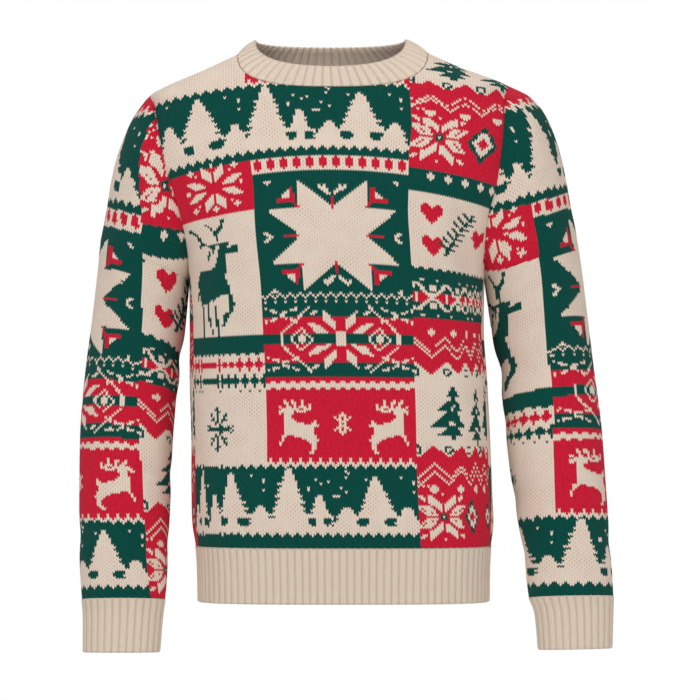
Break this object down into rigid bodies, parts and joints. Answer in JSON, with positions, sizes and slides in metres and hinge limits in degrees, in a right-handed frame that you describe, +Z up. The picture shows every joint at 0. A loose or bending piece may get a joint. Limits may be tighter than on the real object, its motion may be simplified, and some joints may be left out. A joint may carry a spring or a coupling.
{
  "type": "christmas sweater",
  "caption": "Crew-neck Christmas jumper in cream, green and red patchwork jacquard knit, filled out as worn, with ribbed collar, cuffs and hem.",
  "frame": {"origin": "centre of the neck opening, level with the neck points of the shoulder seams", "axes": "+Z up the body towards the head, -Y towards the front of the garment, +X towards the right as seen from the front; left and right in names are as seen from the front"},
  "size_m": [0.6661, 0.2525, 0.7663],
  "materials": {
    "jacquard_knit": "soft matte jacquard knit in green, red and cream yarn",
    "rib_knit": "soft matte ribbed knit in cream yarn"
  },
  "bodies": {
    "root": {"front": "jacquard_knit", "back": "jacquard_knit", "sleeve_left": "jacquard_knit", "sleeve_right": "jacquard_knit", "collar": "rib_knit", "hem_rib_front": "rib_knit", "hem_rib_back": "rib_knit", "cuff_left": "rib_knit", "cuff_right": "rib_knit"}
  },
  "joints": []
}
